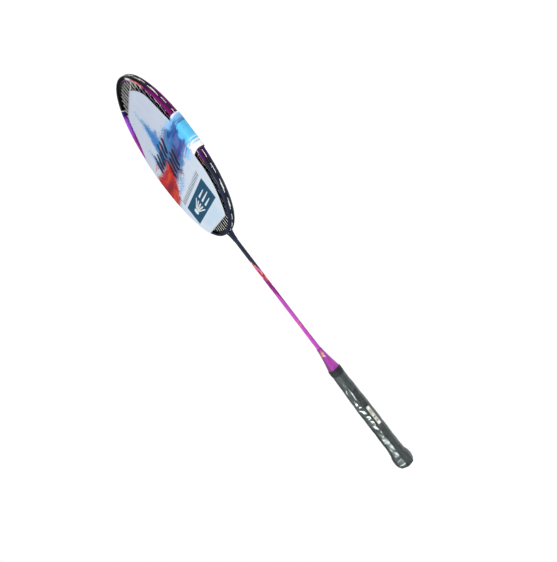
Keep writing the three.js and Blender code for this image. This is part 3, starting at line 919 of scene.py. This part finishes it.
def grip_material():
    """Dark grey-green polyurethane, worn paler in places, with a fine pebble."""
    paint = Paint("grip_pu")
    spot = paint.place()
    pebble = paint.node("ShaderNodeTexVoronoi", {"Vector": spot, "Scale": 1.5}).outputs["Distance"]
    cloud = paint.noise(spot, 0.06, 4)
    worn = paint.noise(spot, 0.5, 3)
    colour = paint.mix(paint.step(cloud, 0.36, 0.64), rgb(6, 9, 12), rgb(44, 51, 49))
    colour = paint.mix(paint.times(paint.step(worn, 0.4, 0.7), 0.6), colour, rgb(66, 74, 66))
    rough = paint.linear(worn, 0.2, 0.8, 0.5, 0.72)
    paint.set(Base_Color=colour, Roughness=rough, Specular_IOR_Level=0.2)
    return paint.bump(pebble, 0.5, 0.12).material


def make_finishing_tape():
    """Narrow tape wound round the top of the grip."""
    low, high, pitch = 168.2, 178.0, 4.2
    ys = np.concatenate([[low, low + 0.1], np.arange(168.8, 177.7, 0.3), [high - 0.1, high]])
    phase = (ys[:, None] / pitch + TURNS[None, :] / (2 * np.pi)) % 1.0
    lap = 0.16 * np.clip(phase / 0.05, 0, 1) * (1 - 0.5 * phase)
    sleeve = grip_half_thickness(175.0)
    thickness = sleeve + 0.1 + lap
    thickness[0] -= 0.3
    thickness[-1] -= 0.9
    thickness[-2] -= 0.12
    outside = handle_grid(ys, TURNS, thickness)
    inside = handle_grid(ys, TURNS, np.full(thickness.shape, sleeve - 0.25))[::-1]
    inside[:, :, 1] = np.clip(inside[:, :, 1], low, high - 0.1)
    grid = np.concatenate([outside, inside])
    obj = grid_object("finishing_winding", grid, tape_material(), wrap_rows=True, wrap_columns=True)
    place(obj, "finishing_tape", "grip_finishing_tape")


def tape_material():
    """Dark, dull tape with a fine weave and one black seam."""
    paint = Paint("finishing_tape")
    weave = paint.noise(paint.place((1, 6, 1)), 1.2, 2)
    colour = paint.mix(weave, rgb(30, 35, 37), rgb(58, 64, 65))
    seam = paint.band(paint.axes()[1], 174.6, 175.6, 0.2)
    colour = paint.mix(paint.times(seam, 0.85), colour, rgb(8, 10, 12))
    paint.set(Base_Color=colour, Roughness=0.62, Specular_IOR_Level=0.15)
    return paint.bump(weave, 0.4, 0.06).material


def make_butt_cap():
    """The end cap: a dished plate with eased edges, and its spigot in the handle."""
    plate = [(0.02, 0.9), (5.0, 0.75), (9.5, 0.35), (11.4, 0.02)]
    plate += [(12.3, 0.25), (12.8, 0.8), (12.9, 1.4), (12.4, 1.75)]
    spigot = [(4.3, 1.8), (4.0, 2.2), (4.0, 7.2), (3.6, 7.8), (0.02, 7.8)]
    rows = np.array(plate + spigot)
    grid = handle_grid(rows[:, 1], TURNS, np.repeat(rows[:, :1], len(TURNS), 1))
    plastic = grained("butt_plastic", 1.6, 3, rgb(20, 23, 25), rgb(36, 40, 42), 0.38, 0.2)
    obj = grid_object("butt_end_cap", grid, plastic, wrap_columns=True, caps=True)
    place(obj, "butt_plastic", "butt_cap")


# ---------------------------------------------------------------- clear film
def facets(along, around, size, rng):
    """A sheet of flat triangles, 0 to 1 high, about size across. around runs from 0 to 1, once round."""
    columns = int(round(GIRTH / size))
    corners = rng.random((int(along.max() / size) + 3, columns))
    u, v = along / size, around % 1.0 * columns
    i, j = np.floor(u).astype(int), np.floor(v).astype(int) % columns
    u, v, next_j = u - np.floor(u), v - np.floor(v), (j + 1) % columns
    here, up, side, far = corners[i, j], corners[i + 1, j], corners[i, next_j], corners[i + 1, next_j]
    upper = here + u * (up - here) + v * (far - up)
    lower = here + v * (side - here) + u * (far - side)
    return np.where(u > v, upper, lower)


def make_film():
    """A loose sleeve of clear film, crumpled into small flat faces."""
    rng = np.random.default_rng(11)
    ys = np.arange(3.0, 168.01, 0.45)
    turns = np.linspace(0, 2 * np.pi, 208, endpoint=False)
    base = soft_grip_thickness(ys)[:, None] - 0.05 + wrap_height(ys, turns) * 0.6
    y, share = np.meshgrid(ys, turns / (2 * np.pi), indexing="ij")
    height = np.zeros(base.shape)
    # each layer of facets: their size, how steep they are, and how far they lean round the handle
    for size, slope, skew in ((4.3, 0.13, 0.11), (6.1, 0.14, -0.07), (9.5, 0.1, 0.04), (17.0, 0.05, -0.02)):
        swing = 0.25 * size * np.sin(2 * np.pi * (share * 3 + y / 31))
        height += facets(y + 8 + swing, share + skew * y / size / 10, size, rng) * size * slope
    height -= np.percentile(height, 3)
    height = np.clip(height, 0, 1.7)
    side = np.clip(np.cos(turns), 0, None)[None, :] ** 8
    # the film lies flatter under the labels, and tighter near the butt
    labelled = np.clip((ys[:, None] - 70) / 5, 0, 1) * np.clip((145 - ys[:, None]) / 5, 0, 1)
    taut = np.interp(ys, (4, 18, 26, 60, 120, 168), (0.6, 0.6, 0.68, 0.78, 0.95, 0.9))[:, None]
    film = handle_grid(ys, turns, base + height * taut * (1 - 0.93 * side * labelled))
    obj = grid_object("film_sleeve", film, film_material(), wrap_columns=True)
    add_modifier(obj, "SOLIDIFY", thickness=0.06 * MM, offset=0)
    apply_modifiers(obj)
    place(obj, "clear_film", "grip_film")


def film_material():
    """Clear film: see-through, with bright, broken reflections."""
    paint = Paint("clear_film")
    wrinkle = paint.noise(paint.place((1, 0.5, 1)), 0.35, 3, 0.55)
    haze = paint.noise(paint.place(), 0.25, 3)
    soft = paint.linear(paint.axes()[1], 90, 45, 0.05, 0.22)
    tone = paint.mix(haze, rgb(208, 226, 230), rgb(244, 252, 252))
    paint.set(Base_Color=tone, Roughness=soft, Metallic=1.0).bump(wrinkle, 0.5, 0.3)
    clear = paint.node("ShaderNodeBsdfTransparent", {"Color": (0.985, 0.99, 0.99, 1)}).outputs[0]
    facing = paint.node("ShaderNodeLayerWeight", {"Blend": 0.15}).outputs["Fresnel"]
    share = paint.linear(facing, 0, 1, 0.03, 0.08)
    mixed = paint.node("ShaderNodeMixShader", {0: share, 1: clear, 2: paint.shader.outputs[0]}).outputs[0]
    paint.feed(paint.output.inputs["Surface"], mixed)
    return paint.material


# ---------------------------------------------------------------- labels on the film
def label_grid(node, rows, columns):
    """A slightly rippled sheet, aslant through a CAD label's box."""
    low, high = box_mm(node)
    ys = np.linspace(low[1], high[1], rows)
    across = np.linspace(low[2], high[2], columns)
    grid = np.empty((rows, columns, 3))
    slope = (high[0] - low[0] - 0.15) / (high[1] - low[1])
    for r, y in enumerate(ys):
        lean = high[0] - slope * (y - low[1])
        grid[r, :, 0] = lean + 0.05 + 0.06 * np.sin(y * 0.9) * np.cos(across * 0.8)
        grid[r, :, 1] = y
        grid[r, :, 2] = across
    return grid


def make_label(name, node, columns, slot, material):
    """A thin sheet with columns across it, over a CAD label."""
    label = grid_object(name, label_grid(node, 60, columns), material)
    add_modifier(label, "SOLIDIFY", thickness=0.12 * MM, offset=0)
    apply_modifiers(label)
    place(label, slot, node)


def sticker_material():
    """Off-white paper with a block of uneven bars."""
    paint = Paint("sticker_paper")
    _, y, z = paint.axes()
    low, high = box_mm("barcode_sticker")
    bars = paint.noise(paint.combine(y, 0.0, 0.0), 0.42, 1, 0.4)
    block = paint.times(
        paint.band(y, low[1] + 5, high[1] - 5, 0.2),
        paint.band(z, low[2] + 0.5, high[2] - 0.6, 0.15),
    )
    fibre = paint.noise(paint.place(), 2.0, 3)
    ink = paint.times(block, paint.step(bars, 0.48, 0.5), 0.95)
    tone = paint.mix(fibre, rgb(246, 243, 230), rgb(252, 249, 238))
    return paint.set(Base_Color=paint.mix(ink, tone, rgb(24, 24, 24)), Roughness=0.5).material


def label_material():
    """A dark label with rows of small grey dashes."""
    paint = Paint("label_film")
    _, y, z = paint.axes()
    low, high = box_mm("grip_label")
    row = paint.times(z, 0.7)
    dashes = paint.noise(paint.combine(paint.times(y, 0.9), paint.math("ROUND", row), 2.0), 1.0, 1)
    lines = paint.band(paint.math("FRACT", paint.plus(row, 0.5)), 0.3, 0.62, 0.05)
    inside = paint.band(y, low[1] + 2, high[1] - 2, 0.3)
    marks = paint.times(paint.step(dashes, 0.52, 0.55), lines, inside, 0.55)
    tone = paint.mix(marks, rgb(18, 22, 26), rgb(150, 160, 164))
    return paint.set(Base_Color=tone, Roughness=0.3).material


# ---------------------------------------------------------------- display card
CARD_FOLD_TOP = 600.0
CARD_TOP = 645.0
TAB_BOTTOM, TAB_TOP = 519.0, 568.5
FRONT_Z, BACK_Z = 5.6, -6.6
# (y, x) along the card's two cut edges, and (x, z) round its tab
RIGHT_EDGE = (
    (441, 40), (458, 57), (474, 69.5), (488, 76), (501, 79.5), (519, 81), (540, 84), (570, 84),
    (580, 81), (590, 78.5), (600, 76), (610, 73), (620, 68), (632, 56.5), (645, 38.5),
)
LEFT_CUT = ((600, -82), (603, -78), (613, -65), (627, -49), (639, -37), (645, -27))
TAB_PATH = (
    (84, 5.6), (89, 5.95), (94.5, 6.0), (98.4, 5.0), (100.5, 2.4), (100.9, -0.8),
    (100.2, -4.0), (97.4, -6.3), (92.5, -7.1), (86, -7.2), (72, -7.15),
)


def edge_at(curve, y):
    """Where a cut edge is at height y."""
    return float(np.interp(y, curve[:, 0], curve[:, 1]))


def card_wave(x, y):
    """How far the board bows off its plane."""
    return 0.22 * np.sin(x * 0.035 + 0.6) * np.cos(y * 0.03) + 0.14 * np.sin(y * 0.07 + x * 0.02)


def make_card():
    """One folded board: back, fold round the left rail, front, and a tab round the right rail."""
    ys = np.concatenate([
        np.linspace(CARD_BOTTOM, TAB_BOTTOM, 25), np.linspace(TAB_BOTTOM, TAB_TOP, 19)[1:],
        np.linspace(TAB_TOP, CARD_FOLD_TOP, 11)[1:], np.linspace(CARD_FOLD_TOP + 0.5, CARD_TOP, 16),
    ])
    right_curve, left_curve = spline(RIGHT_EDGE, 8), spline(LEFT_CUT, 8)
    tab = spline(TAB_PATH, 5)
    across = np.linspace(0, 1, 44)
    fold_turn = np.linspace(-math.pi / 2, math.pi / 2, 15)[1:-1]
    fold_z = (FRONT_Z + BACK_Z) / 2 + (FRONT_Z - BACK_Z) / 2 * np.sin(fold_turn)
    rows = []
    for y in ys:
        right = edge_at(right_curve, y)
        if y <= CARD_FOLD_TOP:
            angle = math.pi - angle_at_y(y)
            crest, out = tube_point(angle, 0.0)[0], rim(angle)[1][0]
            reach = np.cos(fold_turn) ** 0.75 * (TUBE_HALF_RADIAL + 0.85)
            fold = np.column_stack([crest[0] + out[0] * reach, crest[1] + out[1] * reach, fold_z])
            left, left_y = crest[0], crest[1]
        else:
            left, left_y = edge_at(left_curve, y), y
            fold = np.repeat([[left, y, 0.0]], len(fold_turn), 0)
        xs = left + (right - left) * across
        row_y = left_y + (y - left_y) * across
        lift = np.sin(np.pi * across) ** 0.5 * card_wave(xs, row_y)
        front = np.column_stack([xs, row_y, FRONT_Z + lift])
        back = np.column_stack([xs, row_y, BACK_Z - 0.15 * np.sin(np.pi * across)])[::-1]
        sag = 0.25 * math.sin(math.pi * np.clip((y - TAB_BOTTOM) / (TAB_TOP - TAB_BOTTOM), 0, 1))
        flap_x, flap_z = tab[1:, 0], tab[1:, 1]
        flap = np.column_stack([flap_x + sag * (flap_x > 99), np.full(len(flap_x), y), flap_z])
        rows.append(np.vstack([back, fold, front, flap]))
    grid = np.array(rows)
    first_fold, first_flap = len(across), 2 * len(across) + len(fold_turn)
    faces = []
    columns = grid.shape[1]
    for r, (y, next_y) in enumerate(zip(ys, ys[1:])):
        has_fold = next_y <= CARD_FOLD_TOP
        has_flap = TAB_BOTTOM <= y and next_y <= TAB_TOP
        for c in range(columns - 1):
            in_fold = first_fold - 1 <= c < first_fold + len(fold_turn)
            in_flap = c >= first_flap - 1
            if (has_fold or not in_fold) and (has_flap or not in_flap):
                corner = r * columns + c
                faces.append((corner, corner + 1, corner + 1 + columns, corner + columns))
    obj = new_object("head_card", grid.reshape(-1, 3), faces, card_material())
    drop_loose_points(obj)
    face_outwards(obj)
    add_modifier(obj, "SOLIDIFY", thickness=0.5 * MM, offset=0)
    apply_modifiers(obj)
    place(obj, "card_board", "display_card")


def drop_loose_points(obj):
    """Removes the vertices that no face uses."""
    work = bmesh.new()
    work.from_mesh(obj.data)
    bmesh.ops.delete(work, geom=[v for v in work.verts if not v.link_faces], context="VERTS")
    work.to_mesh(obj.data)
    work.free()


def card_material():
    """Coated white board, printed with loose brush splashes of blue and red."""
    paint = Paint("card_board")
    x, y, z = paint.axes()
    flat = paint.combine(x, y)
    wobble = paint.node("ShaderNodeTexNoise", {"Vector": flat, "Scale": 0.06, "Detail": 4.0}).outputs["Color"]
    drift = paint.vector("SUBTRACT", wobble, (0.5, 0.5, 0.5))
    spot = paint.vector("MULTIPLY_ADD", drift, (22, 22, 0), flat)
    near = paint.vector("MULTIPLY_ADD", drift, (7, 7, 0), flat)
    speckle = paint.noise(flat, 0.5, 5, 0.7)
    fine = paint.noise(flat, 1.3, 3, 0.6)
    bristle = paint.noise(paint.combine(paint.times(x, 0.03), paint.times(y, 0.32)), 1.0, 4, 0.6)
    cloud = paint.noise(flat, 0.07, 3)
    torn = paint.linear(speckle, 0.3, 0.7, -8, 8)
    drops = paint.linear(speckle, 0.32, 0.72, -15, 10)
    dry = paint.linear(bristle, 0.3, 0.7, -7, 7)
    tall = paint.step(y, 470, 620)
    low_board = paint.mix(cloud, rgb(190, 204, 218), rgb(204, 214, 226))
    high_board = paint.mix(cloud, rgb(175, 185, 203), rgb(188, 197, 212))

    def brush(where, edge, soft, cover, colour, *lines):
        """A layer of strokes in one colour."""
        return paint.times(paint.strokes(where, lines, edge, soft), cover), colour

    pitch, wide, narrow = 13.4, (4.3, 3.0), (4.2, 3.0)
    blots = [((-56 + pitch * k, 562 + k % 2), (-42 + pitch * k, 580 - 3 * (k % 3)), wide) for k in range(6)]
    blots += [((-22 + pitch * k, 538 + k % 2), (-9 + pitch * k, 556 - 2 * (k % 2)), narrow) for k in range(4)]
    hatch = [((50, 531 + 4.6 * k), (76, 532 + 4.6 * k), (0.6, 0.9)) for k in range(6)]
    ticks = [((-66 + 6.4 * k, 504), (-63 + 6.4 * k, 509.5), (1.5, 0.9)) for k in range(19)]
    deep_blue = paint.mix(bristle, rgb(14, 66, 160), rgb(66, 146, 214))
    panel = paint.times(paint.band(x, -67, 53, 0.25), paint.band(y, 467, 498, 0.25))
    picture = paint.layers(
        paint.mix(tall, low_board, high_board),
        brush(spot, torn, 7.0, 0.3, rgb(150, 196, 224),
              ((-34, 460), (24, 456), (6, 9)), ((-84, 506), (-80, 490), (6, 3))),
        brush(spot, drops, 2.0, 0.9, paint.mix(tall, rgb(30, 100, 172), rgb(96, 158, 192)),
              ((4, 630), (4, 602), (3, 12)), ((4, 602), (0, 580), (14, 19))),
        brush(spot, torn, 2.5, 0.85, paint.mix(bristle, rgb(14, 62, 150), rgb(60, 140, 204)),
              ((2, 604), (-4, 578), (8, 17)), ((20, 588), (4, 576), (4, 9))),
        brush(near, drops, 2.0, 0.85, rgb(40, 118, 192),
              ((-46, 592), (-46, 576), (4, 8)), ((-60, 574), (30, 576), (2, 5))),
        brush(spot, drops, 2.5, 0.75, rgb(76, 142, 206),
              ((-50, 519), (-4, 524), (6, 7)), ((-94, 512), (-66, 514), (3, 3)),
              ((50, 530), (72, 528), (2, 5))),
        brush(near, dry, 1.5, 0.97, deep_blue,
              ((40, 551), (76, 551), (13, 22)), ((76, 551), (110, 556), (23, 14))),
        brush(near, dry, 2.5, 0.85, rgb(132, 196, 246),
              ((62, 571), (104, 564), (4, 8)), ((60, 530), (84, 532), (5, 8))),
        brush(spot, torn, 3.0, 0.92, paint.mix(speckle, rgb(8, 40, 118), rgb(70, 148, 208)),
              ((-44, 566), (50, 562), (11, 14)), ((-34, 548), (40, 546), (12, 17))),
        brush(near, dry, 2.5, 0.75, rgb(20, 52, 132),
              ((52, 562), (96, 556), (4, 7)), ((30, 543), (92, 542), (3, 4))),
        brush(spot, torn, 4.0, 0.7, rgb(66, 20, 84),
              ((-22, 552), (40, 548), (9, 7)), ((-40, 536), (12, 534), (6, 6))),
        brush(near, dry, 3.0, 0.9, paint.mix(bristle, rgb(40, 178, 238), rgb(120, 216, 246)),
              ((84, 545), (101, 541), (4, 13)), ((96, 548), (104, 534), (9, 9))),
        brush(near, dry, 2.5, 0.97, rgb(250, 252, 252),
              ((88, 524), (106, 519), (5, 11)), ((96, 567.5), (106, 568), (0.5, 1.5))),
        brush(near, torn, 2.0, 0.97, paint.mix(bristle, rgb(170, 4, 14), rgb(158, 12, 24)),
              ((-112, 542), (-58, 540), (27, 21)), ((-58, 541), (-14, 548), (20, 6)),
              ((-110, 520), (-66, 519), (9, 5))),
        brush(near, dry, 3.0, 0.75, rgb(206, 70, 34),
              ((-98, 524), (-62, 528), (4, 5)), ((-80, 548), (-34, 546), (2, 4)),
              ((-30, 552), (-16, 554), (3, 2))),
        brush(near, dry, 4.0, 0.7, rgb(100, 14, 30),
              ((-100, 542), (-56, 536), (4, 6)), ((-60, 566), (-20, 562), (2, 3))),
        brush(near, paint.linear(speckle, 0.3, 0.7, -1.5, 1.0), 0.5, 0.8, rgb(206, 112, 98),
              ((-82, 573), (-58, 574), (1.2, 1.6)), ((-8, 575), (46, 573), (1.5, 0.8))),
        brush(near, None, 0.4, 0.55, rgb(140, 26, 92), *hatch),
        brush(near, paint.linear(fine, 0.3, 0.7, -1.5, 0.9), 0.35, 0.94, rgb(10, 10, 18), *blots),
        brush(flat, None, 0.3, 0.85, rgb(30, 33, 44), *ticks),
        (panel, paint.mix(fine, rgb(12, 66, 96), rgb(18, 78, 106))),
        (paint.times(panel, shuttle_mark(paint, flat)), rgb(212, 218, 222)),
    )
    fibre = paint.noise(paint.place(), 1.2, 4)
    back = paint.mix(fibre, rgb(196, 202, 212), rgb(210, 215, 222))
    front = paint.step(z, -6.4, -4.8)
    paint.set(Base_Color=paint.mix(front, back, picture), Roughness=paint.linear(fibre, 0, 1, 0.34, 0.5))
    paint.set(Specular_IOR_Level=0.25)
    return paint.bump(fibre, 0.15, 0.05).material


def shuttle_mark(paint, flat):
    """A plain shuttlecock pictogram with three speed lines."""
    middle = 481.5
    cork = [((-44, middle), (-41, middle), (4.6, 4.6))]
    ribs = [((-34, middle + 1.6 * k), (-8, middle + 5.0 * k), (0.9, 0.9)) for k in range(-2, 3)]
    hoops = [((x, middle - h), (x, middle + h), (0.6, 0.6)) for x, h in ((-26, 5.0), (-16, 8.0))]
    speed = [((4, middle + 7 * k), (40 - 8 * abs(k), middle + 7 * k), (1.5, 0.6)) for k in (-1, 0, 1)]
    return paint.strokes(flat, cork + ribs + hoops + speed, None, 0.3)


# ---------------------------------------------------------------- CAD pieces that stay
def dress(node, material):
    """Gives a CAD node a material."""
    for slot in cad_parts[node].material_slots:
        slot.material = material


def dress_hidden_pieces():
    """Board, joint and wood keep their CAD shapes and get materials. The board's near-black is painted shade,
    the dark seen through the strings.
    """
    # painted shade: the backing board is near-black so that the string bed shows dark in front of it
    board = Paint("board_black")
    fibre = board.noise(board.place(), 1.0, 4, 0.65)
    board.set(Base_Color=board.mix(fibre, rgb(2, 2, 3), rgb(8, 8, 9)), Roughness=0.9)
    board.set(Specular_IOR_Level=0.05)
    dress("backing_board", board.bump(fibre, 0.3, 0.05).material)
    dress("t_joint", grained("joint_nylon", 1.5, 2, rgb(30, 30, 32), rgb(46, 46, 50), 0.45, 0.2))
    wood = Paint("handle_wood")
    warp = wood.noise(wood.place((0.08, 0.01, 0.08)), 1.0, 3)
    rings = wood.math("SINE", wood.plus(wood.times(wood.axes()[0], 2.4), wood.times(warp, 22.0)))
    tone = wood.mix(wood.linear(rings, -1, 1), rgb(196, 158, 108), rgb(164, 122, 76))
    wood.set(Base_Color=tone, Roughness=0.6)
    dress("handle_core", wood.bump(rings, 0.15, 0.05).material)


# ---------------------------------------------------------------- scene
def make_floor():
    """A pale floor, well below the racket, so that its shadow is faint."""
    paint = Paint("floor_paint")
    grain = paint.noise(paint.place(), 0.02, 2)
    paint.set(Base_Color=paint.mix(grain, rgb(243, 244, 246), rgb(248, 249, 250)), Roughness=0.9)
    size, z = 20000.0, -900.0
    corners = [(x, y, z) for x, y in ((-size, -size), (size, -size), (size, size), (-size, size))]
    new_object("floor", corners, [(0, 1, 2, 3)], paint.material, smooth=False)


def make_sun(name, towards, strength, spread):
    """A sun that stands in the direction towards. spread is its size in degrees."""
    data = bpy.data.lights.new(name, "SUN")
    data.energy = strength
    data.angle = math.radians(spread)
    light = link(bpy.data.objects.new(name, data))
    light.rotation_euler = Vector(towards).to_track_quat("Z", "Y").to_euler()


def make_world():
    """White where the camera looks past the floor, and a soft dome that is brightest overhead."""
    world = bpy.data.worlds.new("studio")
    world.use_nodes = True
    sky = Tree(world.node_tree)
    direction = sky.node("ShaderNodeTexCoord").outputs["Generated"]
    height = sky.node("ShaderNodeSeparateXYZ", {0: direction}).outputs["Z"]
    dome = sky.node(
        "ShaderNodeMapRange",
        {"Value": height, "From Min": 0.35, "To Min": 0.06, "To Max": 1.5},
        interpolation_type="SMOOTHSTEP",
    ).outputs["Result"]
    seen = sky.node("ShaderNodeLightPath").outputs["Is Camera Ray"]
    brightness = sky.node("ShaderNodeMix", {"Factor": seen, 2: dome, 3: 1.0}).outputs[0]
    background = sky.tree.nodes["Background"]
    sky.feed(background.inputs["Color"], (1, 1, 1, 1))
    sky.feed(background.inputs["Strength"], brightness)
    bpy.context.scene.world = world


def make_camera():
    """The camera stands to the right of the head and above it, rolled on its side."""
    position = Vector((603.4, 372.8, 223.4))
    target = Vector((35.3, 330.1, 0.0))
    roll = math.radians(-128.9)
    data = bpy.data.cameras.new("camera")
    data.lens = 28.9
    data.sensor_width = 36.0
    data.clip_start, data.clip_end = 0.01, 50.0
    camera = link(bpy.data.objects.new("camera", data))
    turn = (target - position).to_track_quat("-Z", "Y").to_matrix().to_4x4()
    camera.matrix_world = Matrix.Translation(position * MM) @ turn @ Matrix.Rotation(roll, 4, "Z")
    bpy.context.scene.camera = camera


make_camera()
make_world()
make_sun("key_sun", (0.28, -0.42, 0.86), 1.3, 12)
make_sun("side_fill", (0.93, 0.1, 0.36), 0.6, 60)
make_floor()
make_hoop(hoop_material())
make_throat(throat_material())
make_grommets(grained("grommet_nylon", 2.5, 2, rgb(14, 14, 17), rgb(28, 28, 32), 0.42, 0.15))
make_strings()
make_shaft()
make_cone()
make_grip()
make_finishing_tape()
make_butt_cap()
make_film()
make_label("barcode_label", "barcode_sticker", 10, "sticker_paper", sticker_material())
make_label("dark_label", "grip_label", 12, "label_film", label_material())
make_card()
dress_hidden_pieces()

bpy.context.scene.view_settings.view_transform = "Standard"
